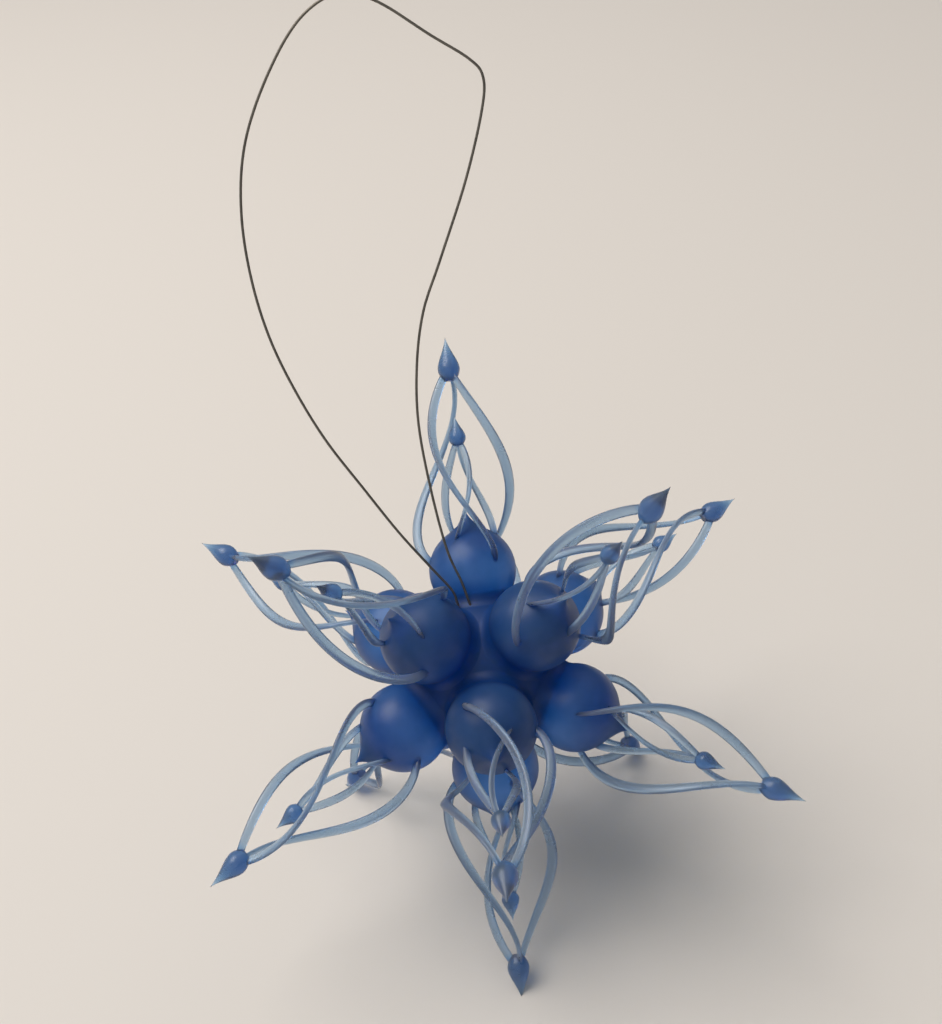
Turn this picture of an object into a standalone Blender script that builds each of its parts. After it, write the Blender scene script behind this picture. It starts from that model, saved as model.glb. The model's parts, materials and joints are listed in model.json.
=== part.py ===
"""Star ornament of translucent blue resin, hung from a loop of fine wire.

Twelve points leave a ball core along the corner directions of an icosahedron. Each point is an onion
bulb seated on the core, an inner cage of three twisted ribs under a small bead, and an outer cage of
three ribs with the opposite twist that carries the pointed tip bead. The star stands on its three
lowest tips, and the wire loop swings in an eye sunk in the top of the core.
"""

import math

import bmesh
import bpy
from mathutils import Matrix, Vector
from mathutils.geometry import interpolate_bezier

MM = 0.001
GOLDEN = (1 + math.sqrt(5)) / 2

# Driving dimensions: heights run along a point's axis from the star's centre
TIP_REACH = 40.0 * MM
SEAT_GAP = 0.3 * MM
CORE_RADIUS = 9.7 * MM

BULB_CENTRE = 11.9 * MM
BULB_RADIUS = 5.2 * MM
BULB_TIP = 19.0 * MM
BULB_OGEE_START = 16.1 * MM
BULB_OGEE_EASE = 0.53
BULB_TIP_HALF_WIDTH = 0.35 * MM
SPIGOT_RADIUS = 1.6 * MM
SPIGOT_END = 4.8 * MM

# The rib's meridian is one ogee, as Bezier knots and handles of (height, radius)
RIB_OGEE = ((13.0 * MM, 4.35 * MM), (16.6 * MM, 9.9 * MM), (32.84 * MM, 2.64 * MM), (35.52 * MM, 0.48 * MM))
RIB_TURN_PER_METRE = math.radians(5.3) / MM
RIB_RADIAL_HALF = 0.58 * MM
RIB_TANGENT_HALF = 0.32 * MM
RIB_FOOT_TAPER = 0.72
RIB_BEAD_TAPER = 0.75
RIB_FULL_AT = 0.35
RIBS_PER_CAGE = 3
OUTER_FOOT_ANGLE = math.radians(60)
PEG_DEPTH = 0.7 * MM

TIP_BEAD = {"base": 34.7 * MM, "widest": 36.2 * MM, "tip": TIP_REACH, "radius": 1.33 * MM}
INNER_BEAD = {"base": 26.9 * MM, "widest": 27.9 * MM, "tip": 30.5 * MM, "radius": 1.06 * MM}
# Bead handles as shares of its radius and of its point's length, and its base as a share of its radius
BEAD_TIP_HANDLE = (0.285, 0.53)
BEAD_SIDE_HANDLE = (0.94, 0.29)
BEAD_BASE = 0.52
INNER_HEIGHT_SCALE = 0.65
INNER_WIDTH_SCALE = 0.48
INNER_RIB_THICKNESS = 0.8
INNER_FOOT_ANGLE = 0.0

# The three lowest tips are blunted by this much where the star stands on them
TIP_BLUNTING = 0.5 * MM

# The wire's eye, from the star's centre: a short cross tunnel between two slots in the top of the core
EYE_PLACE = Vector((-1.4, 0.9, 8.75)) * MM
EYE_TUNNEL_RADIUS = 0.35 * MM
EYE_SLOT_OFFSET = 0.7 * MM
EYE_SLOT_WIDTH = 0.6 * MM
EYE_SLOT_FRONT = 0.4 * MM
EYE_SLOT_BACK = 0.68 * MM
EYE_SLOT_DEPTH = 0.4 * MM

WIRE_DIAMETER = 0.3 * MM
WIRE_LEAN = math.radians(24)
WIRE_STEPS = 2
# The loop's route in its own plane, in millimetres: across, and up from the axis of the eye
WIRE_ROUTE = (
    (-0.12, 0.0), (-0.4, 0.0), (-0.6, 0.1), (-0.7, 0.45), (-0.85, 1.3), (-1.3, 2.8), (-3.4, 5.8),
    (-6.5, 10.3), (-9.8, 15.8), (-13.4, 22.0), (-16.1, 28.2), (-18.0, 34.2), (-19.0, 40.5), (-19.1, 47.0),
    (-18.1, 53.2), (-15.9, 58.6), (-12.2, 64.4), (-8.9, 67.6), (-5.4, 68.8), (-1.7, 67.5), (3.3, 63.7),
    (7.1, 60.9), (8.4, 58.9), (7.9, 55.5), (5.4, 48.5), (1.7, 40.4), (-0.8, 35.0), (-2.2, 29.2),
    (-2.8, 22.6), (-2.3, 14.9), (-1.3, 7.7), (-0.1, 3.8), (0.5, 1.3), (0.7, 0.45), (0.6, 0.1),
    (0.4, 0.0), (0.12, 0.0),
)

# Facets
BULB_SIDES = 10
BEAD_SIDES = 8
OUTER_RIB_SIDES = 6
INNER_RIB_SIDES = 5
OUTER_RIB_RINGS = 8
INNER_RIB_RINGS = 6
SOCKET_RINGS = 2
RIB_FINE_POINTS = 200
OGEE_POINTS = 4
BALL_POINTS = 5
SEAT_POINTS = 3
CORE_SUBDIVISIONS = 3
EYE_TUNNEL_SIDES = 8
SMOOTH_ANGLE = math.radians(40)
MERGE_DISTANCE = 0.01 * MM
CUT_MARGIN = 1.0 * MM

# Each point's name and direction, in the frame in which the first point is modelled along +Z
POINTS = {
    "top_left": (-1, 0, -GOLDEN),
    "top_right": (1, 0, -GOLDEN),
    "top_back": (0, -GOLDEN, -1),
    "upper_front": (0, GOLDEN, -1),
    "upper_left": (-GOLDEN, -1, 0),
    "upper_right": (GOLDEN, -1, 0),
    "lower_back": (0, -GOLDEN, 1),
    "lower_left": (-GOLDEN, 1, 0),
    "lower_right": (GOLDEN, 1, 0),
    "base_front": (0, GOLDEN, 1),
    "base_left": (-1, 0, GOLDEN),
    "base_right": (1, 0, GOLDEN),
}
STANDING_POINTS = ("base_front", "base_left", "base_right")

# How far each point's outer and inner cage is turned about its axis, in degrees
CAGE_TURNS = {
    "top_left": (39, -8), "top_right": (-14, 90), "top_back": (6, 95), "upper_front": (64, 22),
    "upper_left": (15, 88), "upper_right": (3, 3), "lower_back": (0, 0), "lower_left": (13, 62),
    "lower_right": (1, 0), "base_front": (9, 18), "base_left": (0, 0), "base_right": (0, 0),
}
# How far the slender points have bent: millimetres across the axis at the tip
TIP_LEANS = {
    "top_left": (1.4, 0.1), "top_right": (0.8, -1.6), "top_back": (-0.1, 0.8), "upper_front": (-0.6, 0.2),
    "upper_left": (-0.4, -0.9), "upper_right": (-0.6, 1.5), "lower_left": (1.1, 1.2), "lower_right": (0.1, -0.4),
}

# The turn about X that brings three tips level underneath, and the height of the centre above them
STAND_TURN = Matrix.Rotation(math.atan(GOLDEN / (2 * GOLDEN + 1)) - math.pi, 4, "X")
STAND_DROP = -(STAND_TURN @ (Vector(POINTS["base_front"]).normalized() * TIP_REACH)).z
CENTRE_HEIGHT = STAND_DROP - TIP_BLUNTING


def new_collection(name):
    collection = bpy.data.collections.new(name)
    bpy.context.scene.collection.children.link(collection)
    return collection


def resin_or_wire(name, colour, roughness, metallic, transmission):
    material = bpy.data.materials.new(name)
    material.use_nodes = True
    shader = material.node_tree.nodes["Principled BSDF"]
    shader.inputs["Base Color"].default_value = (*colour, 1)
    shader.inputs["Roughness"].default_value = roughness
    shader.inputs["Metallic"].default_value = metallic
    shader.inputs["Transmission Weight"].default_value = transmission
    material.diffuse_color = (*colour, 1)
    return material


def add_object(name, data, collection):
    piece = bpy.data.objects.new(name, data)
    collection.objects.link(piece)
    return piece


def add_guide(name, data):
    guide = add_object(name, data, cutters)
    guide.hide_render = True
    guide.display_type = "WIRE"
    return guide


def boolean(piece, operation, tool):
    modifier = piece.modifiers.new(operation.lower(), "BOOLEAN")
    modifier.operation = operation
    modifier.solver = "EXACT"
    modifier.object = tool


def finished_mesh(piece, name):
    """The piece's mesh with its modifiers applied, shaded smooth up to the sharp angle."""
    evaluated = piece.evaluated_get(bpy.context.evaluated_depsgraph_get())
    mesh = bpy.data.meshes.new_from_object(evaluated)
    mesh.name = name
    mesh.shade_smooth()
    mesh.set_sharp_from_angle(angle=SMOOTH_ANGLE)
    return mesh


def turned(name, profile, sides):
    """A guide turned about Z from (radius, height) points that run from its top to its bottom."""
    mesh = bpy.data.meshes.new(name)
    edges = [(i, i + 1) for i in range(len(profile) - 1)]
    mesh.from_pydata([(radius, 0, height) for radius, height in profile], edges, [])
    piece = add_guide(name, mesh)
    screw = piece.modifiers.new("turn", "SCREW")
    screw.steps = sides
    screw.render_steps = sides
    screw.use_merge_vertices = True
    screw.merge_threshold = MERGE_DISTANCE
    return piece


def bezier(knots, count):
    """Points along one Bezier segment given as its first knot, two handles and last knot."""
    corners = [Vector((a, b, 0)) for a, b in knots]
    return [(point.x, point.y) for point in interpolate_bezier(*corners, count)]


def bulb_arc(grow, first, last, count):
    """Points on the bulb's ball, at angles from the point's axis."""
    angles = [first + (last - first) * i / (count - 1) for i in range(count)]
    radius = BULB_RADIUS + grow
    return [(radius * math.sin(a), BULB_CENTRE + radius * math.cos(a)) for a in angles]


def bulb_profile():
    """Onion outline: a concave tip, the ball, and the spigot that plugs into the core."""
    shoulder = math.acos((BULB_OGEE_START - BULB_CENTRE) / BULB_RADIUS)
    start_radius = BULB_RADIUS * math.sin(shoulder)
    reach = BULB_OGEE_EASE * (BULB_TIP - BULB_OGEE_START)
    shoulder_handle = (start_radius - reach * math.cos(shoulder), BULB_OGEE_START + reach * math.sin(shoulder))
    tip_handle = (BULB_TIP_HALF_WIDTH, BULB_OGEE_START + reach)
    ogee = bezier(((0, BULB_TIP), tip_handle, shoulder_handle, (start_radius, BULB_OGEE_START)), OGEE_POINTS)
    neck = math.pi - math.asin(SPIGOT_RADIUS / BULB_RADIUS)
    ball = bulb_arc(0, shoulder, neck, BALL_POINTS)
    return ogee[:-1] + ball + [(SPIGOT_RADIUS, SPIGOT_END), (0, SPIGOT_END)]


def seat_profile():
    """The space a bulb and its spigot take in the core, with the seat's gap all round."""
    radius = SPIGOT_RADIUS + SEAT_GAP
    neck = math.pi - math.asin(radius / (BULB_RADIUS + SEAT_GAP))
    ball = bulb_arc(SEAT_GAP, math.pi / 2, neck, SEAT_POINTS)
    return [(0, BULB_CENTRE)] + ball + [(radius, SPIGOT_END - SEAT_GAP), (0, SPIGOT_END - SEAT_GAP)]


def bead_profile(base, widest, tip, radius):
    """Spade outline: a long concave point over a short swelling that narrows to a flat base."""
    length = tip - widest
    handles = [(x * radius, widest + z * length) for x, z in (BEAD_TIP_HANDLE, BEAD_SIDE_HANDLE)]
    point = bezier(((0, tip), *handles, (radius, widest)), OGEE_POINTS)
    return point + [(BEAD_BASE * radius, base), (0, base)]


def rib_line(cage, foot_angle):
    """Centre line of a rib: the ogee, shrunk towards the bulb's centre and wound about the axis."""
    tall, wide = cage["scale"]
    knots = [(BULB_CENTRE + tall * (height - BULB_CENTRE), wide * radius) for height, radius in RIB_OGEE]
    fine = bezier(knots, RIB_FINE_POINTS)
    depth = BULB_RADIUS - PEG_DEPTH
    clear = [p for p in fine if math.hypot(p[0] - BULB_CENTRE, p[1]) >= depth]
    last = cage["rings"] - 1
    chosen = [clear[round(i * (len(clear) - 1) / last)] for i in range(cage["rings"])]
    line = []
    for height, radius in chosen:
        angle = foot_angle + cage["twist"] * RIB_TURN_PER_METRE * (height - knots[0][0]) / tall
        line.append(Vector((radius * math.cos(angle), radius * math.sin(angle), height)))
    return line


def rib_taper(share):
    """Thickness along a rib: thin at the foot, full a third of the way up, thinner at the bead."""
    if share < RIB_FULL_AT:
        return RIB_FOOT_TAPER + (1 - RIB_FOOT_TAPER) * math.sin(share / RIB_FULL_AT * math.pi / 2)
    return 1 - (1 - RIB_BEAD_TAPER) * ((share - RIB_FULL_AT) / (1 - RIB_FULL_AT)) ** 2


def add_rib(bm, line, ring_count, sides, thickness, grow):
    """Lofts flattened sections along a centre line, broad side out from the axis, into a closed rib."""
    rings = []
    for i, centre in enumerate(line[:ring_count]):
        along = (line[min(i + 1, len(line) - 1)] - line[max(i - 1, 0)]).normalized()
        out = Vector((centre.x, centre.y, 0))
        out = (out - along * out.dot(along)).normalized()
        side = along.cross(out)
        size = thickness * rib_taper(i / (len(line) - 1))
        a = RIB_RADIAL_HALF * size + grow
        b = RIB_TANGENT_HALF * size + grow
        ring = []
        for k in range(sides):
            angle = 2 * math.pi * k / sides
            ring.append(bm.verts.new(centre + out * (a * math.cos(angle)) + side * (b * math.sin(angle))))
        rings.append(ring)
    for lower, upper in zip(rings, rings[1:]):
        for k in range(sides):
            n = (k + 1) % sides
            bm.faces.new((lower[k], lower[n], upper[n], upper[k]))
    bm.faces.new(reversed(rings[0]))
    bm.faces.new(rings[-1])


def ribs_mesh(name, cage, grow=0, feet_only=False):
    """The three ribs of a cage, or only their grown feet to cut the bulb's sockets."""
    bm = bmesh.new()
    for i in range(RIBS_PER_CAGE):
        angle = cage["foot_angle"] + 2 * math.pi * i / RIBS_PER_CAGE
        line = rib_line(cage, angle)
        if feet_only:
            line[0] += (line[0] - line[1]).normalized() * grow
        ring_count = SOCKET_RINGS if feet_only else cage["rings"]
        add_rib(bm, line, ring_count, cage["sides"], cage["thickness"], grow)
    mesh = bpy.data.meshes.new(name)
    bm.to_mesh(mesh)
    bm.free()
    return mesh


def cage_mesh(name, cage):
    bead = turned(name + "_bead", bead_profile(**cage["bead"]), BEAD_SIDES)
    boolean(bead, "UNION", add_guide(name + "_ribs", ribs_mesh(name + "_ribs", cage)))
    return finished_mesh(bead, name)


def point_turn(point):
    """The shortest turn that carries a point modelled along +Z to its own direction."""
    return Vector((0, 0, 1)).rotation_difference(Vector(POINTS[point])).to_matrix().to_4x4()


def tip_lean(point):
    across, along = TIP_LEANS.get(point, (0, 0))
    return Vector((across * MM, along * MM, 0))


def bent(mesh, turn, lean):
    """A copy of a cage, turned about the axis and bent more and more towards its tip."""
    copy = mesh.copy()
    copy.transform(Matrix.Rotation(math.radians(turn), 4, "Z"))
    for vert in copy.vertices:
        share = max(0, (vert.co.z - BULB_CENTRE) / (TIP_REACH - BULB_CENTRE))
        vert.co += lean * share ** 2
    return copy


def blunted(mesh, place):
    """A copy of a standing point's cage, cut flat where its tip meets the floor."""
    bm = bmesh.new()
    bm.from_mesh(mesh)
    floor = place.inverted()
    down = (floor.to_3x3() @ Vector((0, 0, -1))).normalized()
    geometry = bm.verts[:] + bm.edges[:] + bm.faces[:]
    cut = bmesh.ops.bisect_plane(bm, geom=geometry, plane_co=floor @ Vector(), plane_no=down, clear_outer=True)
    rim = [item for item in cut["geom_cut"] if isinstance(item, bmesh.types.BMEdge)]
    bmesh.ops.contextual_create(bm, geom=rim)
    copy = bpy.data.meshes.new(mesh.name + "_standing")
    bm.to_mesh(copy)
    bm.free()
    return copy


def seats_mesh():
    """All twelve bulb seats as one cutting tool for the core."""
    seat = finished_mesh(turned("bulb_seat", seat_profile(), BULB_SIDES), "bulb_seat")
    bm = bmesh.new()
    for point in POINTS:
        before = len(bm.verts)
        bm.from_mesh(seat)
        bm.verts.ensure_lookup_table()
        bmesh.ops.transform(bm, matrix=point_turn(point), verts=bm.verts[before:])
    mesh = bpy.data.meshes.new("bulb_seats")
    bm.to_mesh(mesh)
    bm.free()
    return mesh


def eye_tools():
    """The tools that sink the wire's eye: a tunnel across, and a slot at each end of it."""
    bm = bmesh.new()
    lie_across = Matrix.Translation(EYE_PLACE) @ Matrix.Rotation(math.pi / 2, 4, "Y")
    bmesh.ops.create_cone(
        bm, cap_ends=True, segments=EYE_TUNNEL_SIDES, radius1=EYE_TUNNEL_RADIUS, radius2=EYE_TUNNEL_RADIUS,
        depth=2 * EYE_SLOT_OFFSET, matrix=lie_across,
    )
    tunnel = bpy.data.meshes.new("eye_tunnel")
    bm.to_mesh(tunnel)
    bm.clear()
    bottom = EYE_PLACE.z - EYE_SLOT_DEPTH
    top = CORE_RADIUS + CUT_MARGIN
    size = (EYE_SLOT_WIDTH, EYE_SLOT_FRONT + EYE_SLOT_BACK, top - bottom)
    middle_y = EYE_PLACE.y + (EYE_SLOT_BACK - EYE_SLOT_FRONT) / 2
    for side in (-1, 1):
        place = Matrix.Translation((EYE_PLACE.x + side * EYE_SLOT_OFFSET, middle_y, (top + bottom) / 2))
        bmesh.ops.create_cube(bm, size=1, matrix=place @ Matrix.Diagonal((*size, 1)))
    slots = bpy.data.meshes.new("eye_slots")
    bm.to_mesh(slots)
    bm.free()
    tools = [add_guide("eye_tunnel", tunnel), add_guide("eye_slots", slots)]
    for tool in tools:
        tool.matrix_world = STAND_TURN.inverted()
    return tools


def core_mesh():
    """The ball in the middle, dished and bored for twelve bulbs, with the wire's eye on top."""
    bm = bmesh.new()
    bmesh.ops.create_icosphere(bm, subdivisions=CORE_SUBDIVISIONS, radius=CORE_RADIUS)
    ball = bpy.data.meshes.new("core_ball")
    bm.to_mesh(ball)
    bm.free()
    core = add_guide("core_ball", ball)
    boolean(core, "DIFFERENCE", add_guide("bulb_seats", seats_mesh()))
    for tool in eye_tools():
        boolean(core, "DIFFERENCE", tool)
    bpy.context.view_layer.update()
    return finished_mesh(core, "core")


def bulb_mesh(point, feet):
    """A point's onion bulb, with a socket for the foot of each of its six ribs."""
    bulb = turned(f"bulb_blank_{point}", bulb_profile(), BULB_SIDES)
    for mesh, turn in zip(feet, CAGE_TURNS[point]):
        tool = add_guide(f"{mesh.name}_{point}", mesh)
        tool.rotation_euler.z = math.radians(turn)
        boolean(bulb, "DIFFERENCE", tool)
    bpy.context.view_layer.update()
    return finished_mesh(bulb, f"bulb_{point}")


def smooth_route(route, steps):
    """Points on a Catmull-Rom curve through the route, a few for each stretch of it."""
    points = [Vector((across * MM, 0, up * MM)) for across, up in route]
    padded = [2 * points[0] - points[1]] + points + [2 * points[-1] - points[-2]]
    line = []
    for before, start, end, after in zip(padded, padded[1:], padded[2:], padded[3:]):
        for step in range(steps):
            t = step / steps
            bend = 2 * before - 5 * start + 4 * end - after
            twist = 3 * (start - end) + after - before
            line.append(0.5 * (2 * start + (end - before) * t + bend * t * t + twist * t ** 3))
    return line + [points[-1]]


def add_wire(star_middle):
    """The hanging loop, with its origin on the axis of the eye that its two hooked ends swing in."""
    curve = bpy.data.curves.new("hanger_wire", "CURVE")
    curve.dimensions = "3D"
    curve.bevel_depth = WIRE_DIAMETER / 2
    curve.bevel_resolution = 2
    curve.use_fill_caps = True
    line = smooth_route(WIRE_ROUTE, WIRE_STEPS)
    spline = curve.splines.new("POLY")
    spline.points.add(len(line) - 1)
    for point, place in zip(spline.points, line):
        point.co = (*place, 1)
    wire = add_object("hanger_wire", curve, ornament)
    wire.location = star_middle + EYE_PLACE
    wire.rotation_euler = (-WIRE_LEAN, 0, 0)
    return wire


for old in list(bpy.data.objects):
    bpy.data.objects.remove(old)

OUTER_CAGE = {
    "bead": TIP_BEAD, "scale": (1, 1), "twist": -1, "foot_angle": OUTER_FOOT_ANGLE,
    "thickness": 1, "sides": OUTER_RIB_SIDES, "rings": OUTER_RIB_RINGS,
}
INNER_CAGE = {
    "bead": INNER_BEAD, "scale": (INNER_HEIGHT_SCALE, INNER_WIDTH_SCALE), "twist": 1,
    "foot_angle": INNER_FOOT_ANGLE,
    "thickness": INNER_RIB_THICKNESS, "sides": INNER_RIB_SIDES, "rings": INNER_RIB_RINGS,
}

ornament = new_collection("star_ornament")
cutters = new_collection("cutters")

bulb_resin = resin_or_wire("deep_blue_resin", (0.05, 0.15, 0.42), 0.35, 0, 0.6)
rib_resin = resin_or_wire("pale_rib_resin", (0.36, 0.52, 0.74), 0.3, 0, 0.7)
wire_metal = resin_or_wire("dark_wire", (0.12, 0.10, 0.08), 0.45, 1, 0)

# The middle of the star lies where its box is centred over the origin
tips = [STAND_TURN @ point_turn(point) @ (tip_lean(point) + Vector((0, 0, TIP_REACH))) for point in POINTS]
middle_x = (min(tip.x for tip in tips) + max(tip.x for tip in tips)) / 2
middle_y = (min(tip.y for tip in tips) + max(tip.y for tip in tips)) / 2
star_middle = Vector((-middle_x, -middle_y, CENTRE_HEIGHT))

star = add_object("star_centre", None, ornament)
star.matrix_world = Matrix.Translation(star_middle) @ STAND_TURN

core = add_object("core", core_mesh(), ornament)
core.data.materials.append(bulb_resin)
core.parent = star

outer_cage = cage_mesh("outer_cage", OUTER_CAGE)
inner_cage = cage_mesh("inner_cage", INNER_CAGE)
feet = (
    ribs_mesh("outer_feet", OUTER_CAGE, grow=SEAT_GAP, feet_only=True),
    ribs_mesh("inner_feet", INNER_CAGE, grow=SEAT_GAP, feet_only=True),
)
for point in POINTS:
    turn = point_turn(point)
    outer_turn, inner_turn = CAGE_TURNS[point]
    outer = bent(outer_cage, outer_turn, tip_lean(point))
    if point in STANDING_POINTS:
        outer = blunted(outer, star.matrix_world @ turn)
    inner = bent(inner_cage, inner_turn, tip_lean(point))
    bulb = bulb_mesh(point, feet)
    for kind, mesh, material in (
        ("bulb", bulb, bulb_resin), ("inner_cage", inner, rib_resin), ("outer_cage", outer, rib_resin),
    ):
        mesh.materials.append(material)
        piece = add_object(f"{kind}_{point}", mesh, ornament)
        piece.parent = star
        piece.matrix_local = turn

wire = add_wire(star_middle)
wire.data.materials.append(wire_metal)
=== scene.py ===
import json
import math

import bmesh
import bpy
from mathutils import Matrix, Vector
from mathutils.geometry import interpolate_bezier


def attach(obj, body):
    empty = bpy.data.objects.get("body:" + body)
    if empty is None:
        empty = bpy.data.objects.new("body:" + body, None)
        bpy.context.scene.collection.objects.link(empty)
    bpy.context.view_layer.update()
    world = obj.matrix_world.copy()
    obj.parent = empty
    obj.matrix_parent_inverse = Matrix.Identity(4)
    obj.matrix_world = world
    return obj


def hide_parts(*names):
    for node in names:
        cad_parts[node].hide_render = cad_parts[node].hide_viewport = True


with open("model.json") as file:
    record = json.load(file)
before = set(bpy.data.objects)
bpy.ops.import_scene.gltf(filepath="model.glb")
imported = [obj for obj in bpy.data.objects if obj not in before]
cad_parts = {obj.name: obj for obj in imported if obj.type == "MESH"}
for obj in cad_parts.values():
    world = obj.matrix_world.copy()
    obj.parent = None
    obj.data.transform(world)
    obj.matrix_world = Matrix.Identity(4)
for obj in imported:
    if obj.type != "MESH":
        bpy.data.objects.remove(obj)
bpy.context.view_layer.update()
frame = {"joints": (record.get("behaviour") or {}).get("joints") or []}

# Stage: a plain pale floor under an even sky, with a broad lamp high on the left, a weaker one behind
# and a weak bluish one in front. The camera looks down on the star at the photograph's angle and distance.
MM = 0.001
FLOOR_HALF = 0.6
FLOOR_COLOUR = (0.70, 0.643, 0.59)
FLOOR_ROUGHNESS = 0.9
FLOOR_SHINE = 0.1
SKY_COLOUR = (0.95, 0.98, 1.0)
SKY_STRENGTH = 0.20
WARM_LIGHT = (1.0, 0.98, 0.95)
BLUISH_LIGHT = (0.55, 0.80, 1.0)
LAMP_AIM = Vector((0, 0, 0.03))
LAMPS = {
    "ceiling_lamp": {"place": (-0.36, 0.12, 0.80), "size": 0.75, "power": 7.6, "colour": WARM_LIGHT},
    "back_lamp": {"place": (0.26, 0.34, 0.75), "size": 0.8, "power": 0.7, "colour": WARM_LIGHT},
    "front_lamp": {"place": (-0.15, -0.85, 0.45), "size": 0.9, "power": 1.25, "colour": BLUISH_LIGHT},
}
PHOTO_HEIGHT = 1024
PHOTO_FOCAL_LENGTH = 1395.8
SENSOR_HEIGHT = 36
CAMERA_NEAR = 10 * MM
CAMERA_PLACE = Vector((-1.32, -119.72, 149.38)) * MM
CAMERA_TURN = Vector((0.90391, 0.04348, -0.11123))


def new_material(name):
    """A plain material: gives it and the sockets of its shader."""
    material = bpy.data.materials.new(name)
    material.use_nodes = True
    return material, material.node_tree.nodes["Principled BSDF"].inputs


def made_mesh(name, bm):
    """Gives the finished shape as a mesh."""
    mesh = bpy.data.meshes.new(name)
    bm.to_mesh(mesh)
    bm.free()
    return mesh


def add_piece(name, mesh, material):
    piece = bpy.data.objects.new(name, mesh)
    bpy.context.scene.collection.objects.link(piece)
    mesh.materials.append(material)
    return piece


floor_shape = bmesh.new()
bmesh.ops.create_grid(floor_shape, x_segments=1, y_segments=1, size=FLOOR_HALF)
floor_paint, sockets = new_material("pale_floor")
sockets["Base Color"].default_value = (*FLOOR_COLOUR, 1)
sockets["Roughness"].default_value = FLOOR_ROUGHNESS
sockets["Specular IOR Level"].default_value = FLOOR_SHINE
add_piece("floor", made_mesh("floor", floor_shape), floor_paint)

sky = bpy.data.worlds.new("sky")
sky.use_nodes = True
sky_sockets = sky.node_tree.nodes["Background"].inputs
sky_sockets["Color"].default_value = (*SKY_COLOUR, 1)
sky_sockets["Strength"].default_value = SKY_STRENGTH
bpy.context.scene.world = sky

for name, lamp in LAMPS.items():
    light = bpy.data.lights.new(name, "AREA")
    light.shape = "DISK"
    light.size = lamp["size"]
    light.energy = lamp["power"]
    light.color = lamp["colour"]
    holder = bpy.data.objects.new(name, light)
    holder.location = lamp["place"]
    holder.rotation_euler = (LAMP_AIM - Vector(lamp["place"])).to_track_quat("-Z", "Y").to_euler()
    bpy.context.scene.collection.objects.link(holder)

camera = bpy.data.objects.new("camera", bpy.data.cameras.new("camera"))
camera.data.sensor_fit = "VERTICAL"
camera.data.sensor_height = SENSOR_HEIGHT
camera.data.lens = PHOTO_FOCAL_LENGTH * SENSOR_HEIGHT / PHOTO_HEIGHT
camera.data.clip_start = CAMERA_NEAR
camera.location = CAMERA_PLACE
camera.rotation_mode = "QUATERNION"
camera.rotation_quaternion = Matrix.Rotation(CAMERA_TURN.length, 3, CAMERA_TURN).to_quaternion()
bpy.context.scene.collection.objects.link(camera)
bpy.context.scene.camera = camera
bpy.context.scene.view_settings.view_transform = "Standard"

# Core: the ball of blue resin in the middle that carries the twelve bulbs. Only twenty small pits of
# it show, each between three bulbs, and the hanging wire runs into the topmost one. The whole ball is
# painted a darker blue, as painted shade in those pits.
GOLDEN = (1 + math.sqrt(5)) / 2
EYE_PLACE = Vector((-1.4, 0.9, 8.75)) * MM
CORE_RADIUS = 9.45 * MM
CORE_SUBDIVISIONS = 5
# The points lie in the directions of an icosahedron's corners.
POINTS = {
    "top_left": (-1, 0, -GOLDEN),
    "top_right": (1, 0, -GOLDEN),
    "top_back": (0, -GOLDEN, -1),
    "upper_front": (0, GOLDEN, -1),
    "upper_left": (-GOLDEN, -1, 0),
    "upper_right": (GOLDEN, -1, 0),
    "lower_back": (0, -GOLDEN, 1),
    "lower_left": (-GOLDEN, 1, 0),
    "lower_right": (GOLDEN, 1, 0),
    "base_front": (0, GOLDEN, 1),
    "base_left": (-1, 0, GOLDEN),
    "base_right": (1, 0, GOLDEN),
}
RESIN_IOR = 1.42
CLOUD_SCALE = 180.0
CLOUD_DETAIL = 3.0
CLOUD_ROUGHNESS = 0.55
CLOUD_CONTRAST = 2.4
SPECK_SCALE = 2600.0
SPECK_DETAIL = 2.0
SPECK_SHARE = 0.6
LAYER_SCALE = 1900.0
LAYER_WAVER = 0.6
RELIEF_STRENGTH = 0.12
RELIEF_DEPTH = 0.03 * MM
ROUGHNESS_SPREAD = 0.12
BLUE_RESIN = {
    "tint": (0.032, 0.175, 0.58),
    "cloud_tint": (0.10, 0.31, 0.78),
    "clear": 0.81,
    "depth_tint": (0.35, 0.45, 0.55),
    "density": 70,
    "roughness": 0.42,
}
# Darker blue painted into the pits and into the bulbs' fillets down to the core: painted shade between the
# bulbs.
PIT_SHADE_TINT = (0.001, 0.14, 0.57)
PIT_ROUGHER = 0.1
# The sockets of a Mix node that hold its factor, its two colours and the mixed one.
MIX_FACTOR, MIX_FIRST, MIX_SECOND, MIX_RESULT = 0, 6, 7, 2

# The star is turned so that three neighbouring tips are level under it, and it stands on those.
stand_turn = Matrix.Rotation(math.atan(GOLDEN / (2 * GOLDEN + 1)) - math.pi, 4, "X")
eye = Vector(frame["joints"][0]["pos_m"])
star_place = Matrix.Translation(eye - EYE_PLACE) @ stand_turn


def point_place(point):
    """Where a point modelled along +Z goes: turned the shortest way to its direction, then stood up."""
    turn = Vector((0, 0, 1)).rotation_difference(Vector(POINTS[point]))
    return star_place @ turn.to_matrix().to_4x4()


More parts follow.
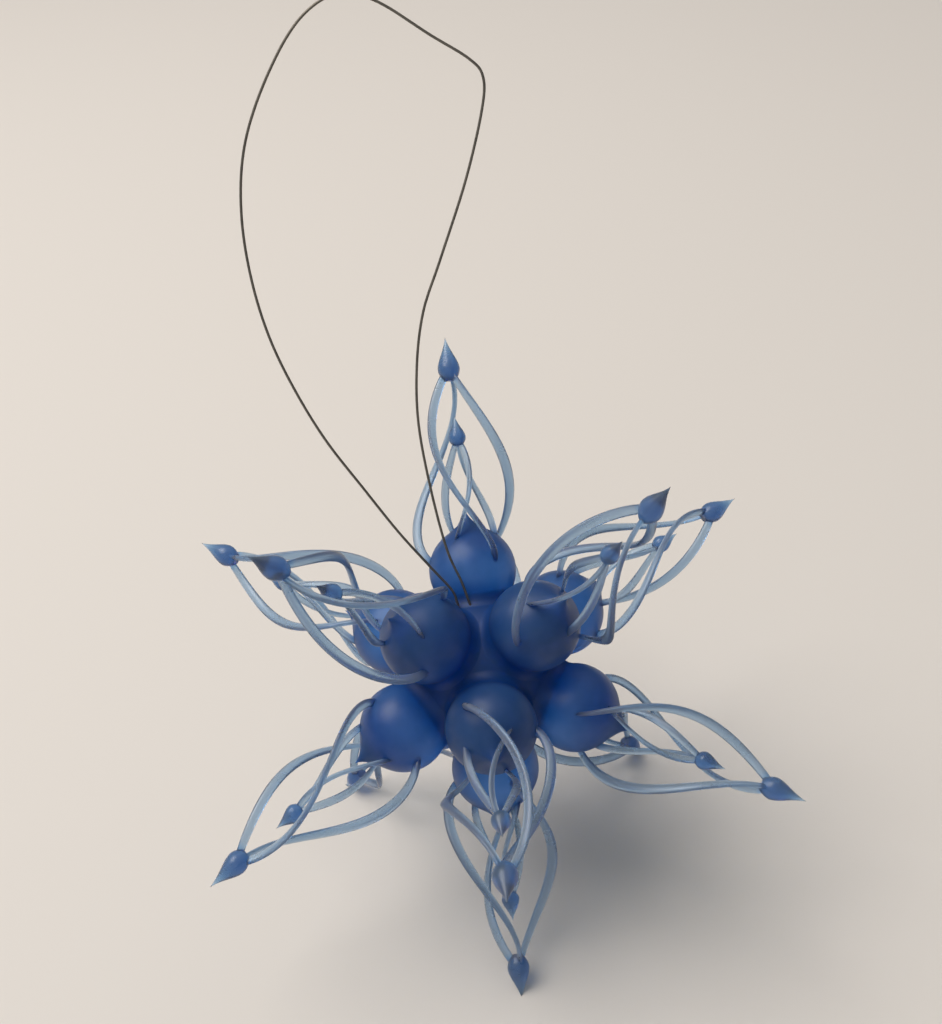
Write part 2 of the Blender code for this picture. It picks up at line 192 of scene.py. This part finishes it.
class Wired:
    """A shader socket that can be used in sums: each sum adds its Math nodes to the same tree."""

    def __init__(self, tree, socket):
        self.tree = tree
        self.socket = socket

    def node(self, kind, settings, values, out=0):
        """Adds a node, sets it up, fills its sockets with values or links, and gives one output."""
        made = self.tree.nodes.new(kind)
        for name, setting in settings.items():
            setattr(made, name, setting)
        for key, value in values.items():
            if isinstance(value, Wired):
                feed(made.inputs[key], value)
            else:
                made.inputs[key].default_value = value
        return Wired(self.tree, made.outputs[out])

    def maths(self, operation, first, second):
        return self.node("ShaderNodeMath", {"operation": operation}, {0: first, 1: second})

    def __add__(self, other):
        return self.maths("ADD", self, other)

    def __radd__(self, other):
        return self.maths("ADD", other, self)

    def __sub__(self, other):
        return self.maths("SUBTRACT", self, other)

    def __rsub__(self, other):
        return self.maths("SUBTRACT", other, self)

    def __mul__(self, other):
        return self.maths("MULTIPLY", self, other)

    def __rmul__(self, other):
        return self.maths("MULTIPLY", other, self)


def feed(socket, value):
    value.tree.links.new(value.socket, socket)


def source_of(socket, tree):
    """What feeds a socket so far."""
    return Wired(tree, socket.links[0].from_socket)


def object_place(material):
    """The place of each point on its piece, which a material's patterns are laid out on."""
    tree = material.node_tree
    return Wired(tree, tree.nodes.new("ShaderNodeTexCoord").outputs["Object"])


def mixed(factor, first, second):
    """A colour between two, by a factor. The first may be a link."""
    start = first if isinstance(first, Wired) else (*first, 1)
    values = {MIX_FACTOR: factor, MIX_FIRST: start, MIX_SECOND: (*second, 1)}
    return factor.node("ShaderNodeMix", {"data_type": "RGBA"}, values, out=MIX_RESULT)


def resin(name, tint, cloud_tint, clear, depth_tint, density, roughness):
    """Frosted translucent resin: slow changes of tint, faint layer lines and specks, blue in depth."""
    material, sockets = new_material(name)
    place = object_place(material)
    cloud = place.node(
        "ShaderNodeTexNoise", {},
        {"Vector": place, "Scale": CLOUD_SCALE, "Detail": CLOUD_DETAIL, "Roughness": CLOUD_ROUGHNESS},
    )
    speck = place.node(
        "ShaderNodeTexNoise", {}, {"Vector": place, "Scale": SPECK_SCALE, "Detail": SPECK_DETAIL},
    )
    layers = place.node(
        "ShaderNodeTexWave", {"bands_direction": "Z"},
        {"Vector": place, "Scale": LAYER_SCALE, "Distortion": LAYER_WAVER},
    )
    cloud_share = CLOUD_CONTRAST * cloud - (CLOUD_CONTRAST - 1) / 2
    feed(sockets["Base Color"], mixed(cloud_share, tint, cloud_tint))
    feed(sockets["Roughness"], roughness - ROUGHNESS_SPREAD / 2 + ROUGHNESS_SPREAD * cloud)
    relief = place.node(
        "ShaderNodeBump", {},
        {
            "Strength": RELIEF_STRENGTH,
            "Distance": RELIEF_DEPTH,
            "Height": SPECK_SHARE * speck + (1 - SPECK_SHARE) * layers,
        },
    )
    feed(sockets["Normal"], relief)
    sockets["Transmission Weight"].default_value = clear
    sockets["IOR"].default_value = RESIN_IOR
    depth = place.node("ShaderNodeVolumeAbsorption", {}, {"Color": (*depth_tint, 1), "Density": density})
    feed(material.node_tree.nodes["Material Output"].inputs["Volume"], depth)
    return material, sockets


def paint_share(mesh, name, share_at):
    """Writes a share between 0 and 1 on every point of a mesh, by where the point is."""
    painted = mesh.attributes.new(name, "FLOAT", "POINT")
    for vert, value in zip(mesh.vertices, painted.data):
        value.value = min(max(share_at(vert.co), 0), 1)


def tint_by_share(material, sockets, name, tint):
    """Mixes a colour into the base colour by the share painted on the mesh, and gives that share."""
    plain = source_of(sockets["Base Color"], material.node_tree)
    share = plain.node("ShaderNodeAttribute", {"attribute_name": name}, {}, out="Fac")
    feed(sockets["Base Color"], mixed(share, plain, tint))
    return share


blue_resin, sockets = resin("blue_resin", **BLUE_RESIN)
# Painted shade: the colour turns darker blue, and the surface rougher, where the mesh is painted as lying
# in a pit between bulbs.
pit_shade = tint_by_share(blue_resin, sockets, "pit_shade", PIT_SHADE_TINT)
smooth = source_of(sockets["Roughness"], blue_resin.node_tree)
feed(sockets["Roughness"], smooth + PIT_ROUGHER * pit_shade)
ball = bmesh.new()
bmesh.ops.create_icosphere(ball, subdivisions=CORE_SUBDIVISIONS, radius=CORE_RADIUS, matrix=star_place)
core_mesh = made_mesh("core_ball", ball)
core_mesh.shade_smooth()
# Painted shade over the whole core, which shows only in the pits.
paint_share(core_mesh, "pit_shade", lambda where: 1)
core = add_piece("core_ball", core_mesh, blue_resin)
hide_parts("core")
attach(core, "star")

# Bulbs: twelve onion-shaped bulbs of the same resin, each turned to a ball with a drawn-out concave
# tip. About a quarter of the ball is sunk into the core, and it flares out to it in a rounded fillet.
BULB_CENTRE = 11.9 * MM
BULB_RADIUS = 5.2 * MM
BULB_TIP = 19.0 * MM
BULB_OGEE_START = 16.1 * MM
BULB_OGEE_REACH = 0.53 * (BULB_TIP - BULB_OGEE_START)
BULB_TIP_HANDLE = 0.35 * MM
BULB_FOOT = 7.0 * MM
BULB_SIDES = 96
FILLET_RADIUS = 1.7 * MM
FILLET_BOTTOM = 9.4 * MM
OGEE_STEPS = 16
BALL_STEPS = 40
FILLET_STEPS = 12
MERGE_DISTANCE = 0.001 * MM
# Below this height a bulb's colour fades into the painted shade of the pits.
PIT_SHADE_TOP = 11.2 * MM
PIT_SHADE_FADE = 1.8 * MM


def bezier(knots, count):
    """Points along one curved stretch, given as its first knot, two handles and last knot."""
    corners = [Vector((a, b, 0)) for a, b in knots]
    return [(point.x, point.y) for point in interpolate_bezier(*corners, count)]


def arc(out, height, radius, start, end, steps):
    """Points along a round stretch of an outline, without its first, by angles from straight up."""
    angles = [start + (end - start) * i / steps for i in range(1, steps + 1)]
    return [(out + radius * math.sin(angle), height + radius * math.cos(angle)) for angle in angles]


def turned_mesh(name, profile, sides):
    """A closed shape spun about Z from (radius, height) points, top to bottom."""
    bm = bmesh.new()
    line = [bm.verts.new((radius, 0, height)) for radius, height in profile]
    edges = [bm.edges.new(pair) for pair in zip(line, line[1:])]
    bmesh.ops.spin(
        bm, geom=line + edges, cent=(0, 0, 0), axis=(0, 0, 1),
        angle=2 * math.pi, steps=sides, use_merge=True,
    )
    bmesh.ops.remove_doubles(bm, verts=bm.verts, dist=MERGE_DISTANCE)
    bmesh.ops.recalc_face_normals(bm, faces=bm.faces)
    mesh = made_mesh(name, bm)
    mesh.shade_smooth()
    return mesh


def bulb_outline():
    """Onion outline: a concave tip, the ball, then the fillet out to the core, which hides the rest."""
    shoulder = math.acos((BULB_OGEE_START - BULB_CENTRE) / BULB_RADIUS)
    start_radius = BULB_RADIUS * math.sin(shoulder)
    tip_handle = (BULB_TIP_HANDLE, BULB_OGEE_START + BULB_OGEE_REACH)
    shoulder_handle = (
        start_radius - BULB_OGEE_REACH * math.cos(shoulder),
        BULB_OGEE_START + BULB_OGEE_REACH * math.sin(shoulder),
    )
    knots = ((0, BULB_TIP), tip_handle, shoulder_handle, (start_radius, BULB_OGEE_START))
    from_core = FILLET_BOTTOM + FILLET_RADIUS
    from_bulb = BULB_RADIUS + FILLET_RADIUS
    fillet_height = (from_core ** 2 - from_bulb ** 2 + BULB_CENTRE ** 2) / (2 * BULB_CENTRE)
    fillet_out = math.sqrt(from_core ** 2 - fillet_height ** 2)
    start = -math.atan2(fillet_out, BULB_CENTRE - fillet_height)
    end = math.atan2(fillet_out, fillet_height) - math.pi
    ogee = bezier(knots, OGEE_STEPS)
    round_side = arc(0, BULB_CENTRE, BULB_RADIUS, shoulder, math.pi + start, BALL_STEPS)
    fillet = arc(fillet_out, fillet_height, FILLET_RADIUS, start, end, FILLET_STEPS)
    return ogee + round_side + fillet + [(0, BULB_FOOT)]


bulb_mesh = turned_mesh("bulb", bulb_outline(), BULB_SIDES)
# Painted shade: darker from the fillet down to the core, fading out on the lower ball.
paint_share(bulb_mesh, "pit_shade", lambda where: (PIT_SHADE_TOP - where.z) / PIT_SHADE_FADE)
for point in POINTS:
    mesh = bulb_mesh.copy()
    mesh.transform(point_place(point))
    bulb = add_piece(f"onion_{point}", mesh, blue_resin)
    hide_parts(f"bulb_{point}")
    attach(bulb, "star")

# Cages: over every bulb an inner and an outer cage of three flattened ribs, wound opposite ways, that
# rise out of the bulb and run together under a pointed bead. Each is cast in pale translucent resin.
RIB_COUNT = 3
# Knots and handles of a rib's ogee, as heights along the point and distances from its axis.
RIB_OGEE = (
    (13.0 * MM, 4.35 * MM), (16.6 * MM, 9.9 * MM), (32.84 * MM, 2.64 * MM), (35.52 * MM, 0.48 * MM),
)
RIB_OGEE_STEPS = 400
RIB_TURN_PER_METRE = math.radians(5.3) / MM
RIB_RADIAL_HALF = 0.61 * MM
RIB_TANGENT_HALF = 0.34 * MM
RIB_SIDES = 16
RIB_FOOT_TAPER = 0.72
RIB_BEAD_TAPER = 0.75
RIB_FULL_SHARE = 0.35
PEG_DEPTH = 0.7 * MM
TIP_REACH = 40.0 * MM
# Handles of a bead's outline, as shares of its radius and of the height of its point or its base.
BEAD_TIP_HANDLE = (0.285, 0.53)
BEAD_SIDE_HANDLE = (0.94, 0.29)
BEAD_BELLY_HANDLE = (1.02, 0.35)
BEAD_BASE_HANDLE = (0.75, 0.25)
BEAD_BASE_SHARE = 0.52
BEAD_POINT_STEPS = 16
BEAD_BASE_STEPS = 8
BEAD_SIDES = 32
SHARP_ANGLE = math.radians(50)
CAGE_RESIN = {
    "tint": (0.76, 0.82, 0.88),
    "cloud_tint": (0.88, 0.91, 0.94),
    "clear": 0.88,
    "depth_tint": (0.0, 0.40, 0.72),
    "density": 1300,
    "roughness": 0.28,
}
BEAD_TINT = (0.48, 0.70, 0.93)
BEAD_FADE = 0.6 * MM
BEAD_TIP_PALER = 0.55
# Painted shade where a rib runs into its bulb: a darker blue near the foot, standing in for the shade
# between rib and bulb and for the bulb's blue seen through the rib.
FOOT_SHADE_TINT = (0.14, 0.32, 0.62)
FOOT_FADE = 1.8 * MM
# A bead is given by the heights of its base, its widest place and its tip, and by its radius.
CAGES = {
    "inner_cage": {
        "scale": (0.65, 0.48), "twist": 1, "foot_angle": 0.0, "thickness": 0.8, "rings": 36,
        "bead": (26.9 * MM, 27.9 * MM, 30.5 * MM, 1.06 * MM),
    },
    "outer_cage": {
        "scale": (1.0, 1.0), "twist": -1, "foot_angle": math.radians(60), "thickness": 1.0, "rings": 48,
        "bead": (34.7 * MM, 36.2 * MM, 40.0 * MM, 1.33 * MM),
    },
}
# How far the outer and the inner cage of each point are turned about it, in degrees.
CAGE_TURNS = {
    "top_left": (39, -8), "top_right": (-14, 90), "top_back": (6, 95), "upper_front": (64, 22),
    "upper_left": (15, 88), "upper_right": (3, 3), "lower_back": (0, 0), "lower_left": (13, 62),
    "lower_right": (1, 0), "base_front": (9, 18), "base_left": (0, 0), "base_right": (0, 0),
}
# How far a tip leans to each side, in millimetres. The other tips are straight.
TIP_LEANS = {
    "top_left": (1.4, 0.1), "top_right": (0.8, -1.6), "top_back": (-0.1, 0.8), "upper_front": (-0.6, 0.2),
    "upper_left": (-0.4, -0.9), "upper_right": (-0.6, 1.5), "lower_left": (1.1, 1.2),
    "lower_right": (0.1, -0.4),
}
STRAIGHT = (0, 0)


def rib_line(cage, foot_angle):
    """Centre line of a rib: the ogee, shrunk towards the bulb's centre and wound about the axis."""
    tall, wide = cage["scale"]
    knots = [(BULB_CENTRE + tall * (height - BULB_CENTRE), wide * radius) for height, radius in RIB_OGEE]
    fine = bezier(knots, RIB_OGEE_STEPS)
    depth = BULB_RADIUS - PEG_DEPTH
    clear = [p for p in fine if math.hypot(p[0] - BULB_CENTRE, p[1]) >= depth]
    last = cage["rings"] - 1
    line = []
    for i in range(cage["rings"]):
        height, radius = clear[round(i * (len(clear) - 1) / last)]
        angle = foot_angle + cage["twist"] * RIB_TURN_PER_METRE * (height - knots[0][0]) / tall
        line.append(Vector((radius * math.cos(angle), radius * math.sin(angle), height)))
    return line


def rib_taper(share):
    """Thickness along a rib: thin at the foot, full a third of the way up, thinner at the bead."""
    if share < RIB_FULL_SHARE:
        return RIB_FOOT_TAPER + (1 - RIB_FOOT_TAPER) * math.sin(share / RIB_FULL_SHARE * math.pi / 2)
    return 1 - (1 - RIB_BEAD_TAPER) * ((share - RIB_FULL_SHARE) / (1 - RIB_FULL_SHARE)) ** 2


def add_rib(bm, line, thickness):
    """Bridges flattened rings along a centre line, broad side out from the axis, into a closed rib."""
    last_ring = None
    for i, centre in enumerate(line):
        along = (line[min(i + 1, len(line) - 1)] - line[max(i - 1, 0)]).normalized()
        out = Vector((centre.x, centre.y, 0))
        out = (out - along * out.dot(along)).normalized()
        side = along.cross(out)
        size = thickness * rib_taper(i / (len(line) - 1))
        axes = Matrix((out * RIB_RADIAL_HALF * size, side * RIB_TANGENT_HALF * size, along)).transposed()
        at_end = i in (0, len(line) - 1)
        place = Matrix.Translation(centre) @ axes.to_4x4()
        made = bmesh.ops.create_circle(bm, cap_ends=at_end, radius=1, segments=RIB_SIDES, matrix=place)
        ring = {edge for vert in made["verts"] for edge in vert.link_edges}
        if last_ring:
            bmesh.ops.bridge_loops(bm, edges=list(last_ring | ring))
        last_ring = ring


def bead_outline(base, widest, tip, radius):
    """Spade outline: a long concave point over a short swelling that narrows to a flat base."""
    def handle(shares, start, rise):
        return (shares[0] * radius, start + shares[1] * rise)

    tip_handle = handle(BEAD_TIP_HANDLE, widest, tip - widest)
    side_handle = handle(BEAD_SIDE_HANDLE, widest, tip - widest)
    belly_handle = handle(BEAD_BELLY_HANDLE, widest, base - widest)
    base_handle = handle(BEAD_BASE_HANDLE, base, widest - base)
    base_end = (BEAD_BASE_SHARE * radius, base)
    point = bezier(((0, tip), tip_handle, side_handle, (radius, widest)), BEAD_POINT_STEPS)
    low = bezier(((radius, widest), belly_handle, base_handle, base_end), BEAD_BASE_STEPS)
    return point + low[1:] + [(0, base)]


def paint_cage(mesh, base, widest, tip):
    """Writes where a cage is bead, less so towards its tip, and where its ribs are close to the bulb, for
    the painted shade there.
    """
    def bead_share(where):
        inside = min(max((where.z - base) / BEAD_FADE + 0.5, 0), 1)
        return inside * (1 - BEAD_TIP_PALER * max(0, (where.z - widest) / (tip - widest)))

    def foot_shade_share(where):
        above = (where - Vector((0, 0, BULB_CENTRE))).length - BULB_RADIUS
        return max(0, 1 - above / FOOT_FADE) ** 2

    paint_share(mesh, "bead", bead_share)
    paint_share(mesh, "foot_shade", foot_shade_share)


def cage_mesh(name, cage):
    """Three ribs united with their bead into one closed casting."""
    base, widest, tip, radius = cage["bead"]
    bm = bmesh.new()
    for i in range(RIB_COUNT):
        line = rib_line(cage, cage["foot_angle"] + 2 * math.pi * i / RIB_COUNT)
        add_rib(bm, line, cage["thickness"])
    bmesh.ops.recalc_face_normals(bm, faces=bm.faces)
    bead_mesh = turned_mesh(name + "_bead", bead_outline(base, widest, tip, radius), BEAD_SIDES)
    ribs = bpy.data.objects.new(name + "_ribs", made_mesh(name + "_ribs", bm))
    bead = bpy.data.objects.new(name + "_bead", bead_mesh)
    for part in (ribs, bead):
        bpy.context.scene.collection.objects.link(part)
    union = bead.modifiers.new("union", "BOOLEAN")
    union.operation = "UNION"
    union.use_self = True
    union.object = ribs
    evaluated = bead.evaluated_get(bpy.context.evaluated_depsgraph_get())
    mesh = bpy.data.meshes.new_from_object(evaluated)
    mesh.shade_smooth()
    mesh.set_sharp_from_angle(angle=SHARP_ANGLE)
    for part in (ribs, bead):
        bpy.data.objects.remove(part)
    paint_cage(mesh, base, widest, tip)
    return mesh


def bent(mesh, turn, lean):
    """A copy of a cage, turned about the axis and bent more and more towards its tip."""
    copy = mesh.copy()
    copy.transform(Matrix.Rotation(math.radians(turn), 4, "Z"))
    for vert in copy.vertices:
        share = max(0, (vert.co.z - BULB_CENTRE) / (TIP_REACH - BULB_CENTRE))
        vert.co += Vector((*lean, 0)) * MM * share ** 2
    return copy


cage_resin, sockets = resin("cage_resin", **CAGE_RESIN)
tint_by_share(cage_resin, sockets, "bead", BEAD_TINT)
# Painted shade: darker blue on the ribs close to the bulb.
tint_by_share(cage_resin, sockets, "foot_shade", FOOT_SHADE_TINT)
for kind, cage in CAGES.items():
    shared = cage_mesh(kind, cage)
    for point in POINTS:
        outer_turn, inner_turn = CAGE_TURNS[point]
        turn = inner_turn if kind == "inner_cage" else outer_turn
        mesh = bent(shared, turn, TIP_LEANS.get(point, STRAIGHT))
        mesh.transform(point_place(point))
        # The lowest tips end flat on the ground.
        for vert in mesh.vertices:
            vert.co.z = max(vert.co.z, 0)
        piece = add_piece(f"ribs_{kind}_{point}", mesh, cage_resin)
        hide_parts(f"{kind}_{point}")
        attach(piece, "star")

# Hanging wire: one piece of fine dark wire bent to a loose loop. Its ends are hooked into the eye in
# the well between the three top points, and it swings there.
WIRE_DIAMETER = 0.3 * MM
WIRE_LEAN = math.radians(24)
WIRE_STEPS = 8
WIRE_ROUNDNESS = 4
WIRE_DARK = (0.10, 0.085, 0.068)
WIRE_BRIGHT = (0.24, 0.205, 0.165)
WIRE_METALLIC = 0.85
WIRE_ROUGHNESS = 0.35
TARNISH_SCALE = 900.0
TARNISH_DETAIL = 4.0
TARNISH_ROUGHER = 0.25
WIRE_ROUTE = (
    (-0.12, 0.0), (-0.4, 0.0), (-0.6, 0.1), (-0.7, 0.45), (-0.85, 1.3), (-1.3, 2.8), (-3.4, 5.8),
    (-6.5, 10.3), (-9.8, 15.8), (-13.4, 22.0), (-16.1, 28.2), (-18.0, 34.2), (-19.0, 40.5), (-19.1, 47.0),
    (-18.1, 53.2), (-15.9, 58.6), (-12.2, 64.4), (-8.9, 67.6), (-5.4, 68.8), (-1.7, 67.5), (3.3, 63.7),
    (7.1, 60.9), (8.4, 58.9), (7.9, 55.5), (5.4, 48.5), (1.7, 40.4), (-0.8, 35.0), (-2.2, 29.2),
    (-2.8, 22.6), (-2.3, 14.9), (-1.3, 7.7), (-0.1, 3.8), (0.5, 1.3), (0.7, 0.45), (0.6, 0.1),
    (0.4, 0.0), (0.12, 0.0),
)
wire_place = Matrix.Translation(eye) @ Matrix.Rotation(-WIRE_LEAN, 4, "X")


def smooth_route(route, steps):
    """Points on a smooth curve through the route, a few for each stretch of it."""
    points = [wire_place @ Vector((across * MM, 0, up * MM)) for across, up in route]
    padded = [2 * points[0] - points[1]] + points + [2 * points[-1] - points[-2]]
    line = []
    for before, start, end, after in zip(padded, padded[1:], padded[2:], padded[3:]):
        for step in range(steps):
            t = step / steps
            bend = 2 * before - 5 * start + 4 * end - after
            twist = 3 * (start - end) + after - before
            line.append(0.5 * (2 * start + (end - before) * t + bend * t * t + twist * t ** 3))
    return line + [points[-1]]


wire_line = smooth_route(WIRE_ROUTE, WIRE_STEPS)
wire_length = sum((b - a).length for a, b in zip(wire_line, wire_line[1:]))
wire_curve = bpy.data.curves.new("hanging_wire", "CURVE")
wire_curve.dimensions = "3D"
wire_curve.bevel_depth = WIRE_DIAMETER / 2
wire_curve.bevel_resolution = WIRE_ROUNDNESS
wire_curve.use_fill_caps = True
spline = wire_curve.splines.new("POLY")
spline.points.add(len(wire_line) - 1)
for knot, where in zip(spline.points, wire_line):
    knot.co = (*where, 1)
spline.use_smooth = True
wire_metal, sockets = new_material("wire_metal")
place = object_place(wire_metal)
tarnish = place.node(
    "ShaderNodeTexNoise", {}, {"Vector": place, "Scale": TARNISH_SCALE, "Detail": TARNISH_DETAIL},
)
feed(sockets["Base Color"], mixed(tarnish, WIRE_DARK, WIRE_BRIGHT))
feed(sockets["Roughness"], WIRE_ROUGHNESS + TARNISH_ROUGHER * tarnish)
sockets["Metallic"].default_value = WIRE_METALLIC
wire = add_piece("hanging_wire", wire_curve, wire_metal)
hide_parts("hanger_wire")
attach(wire, "hanger")
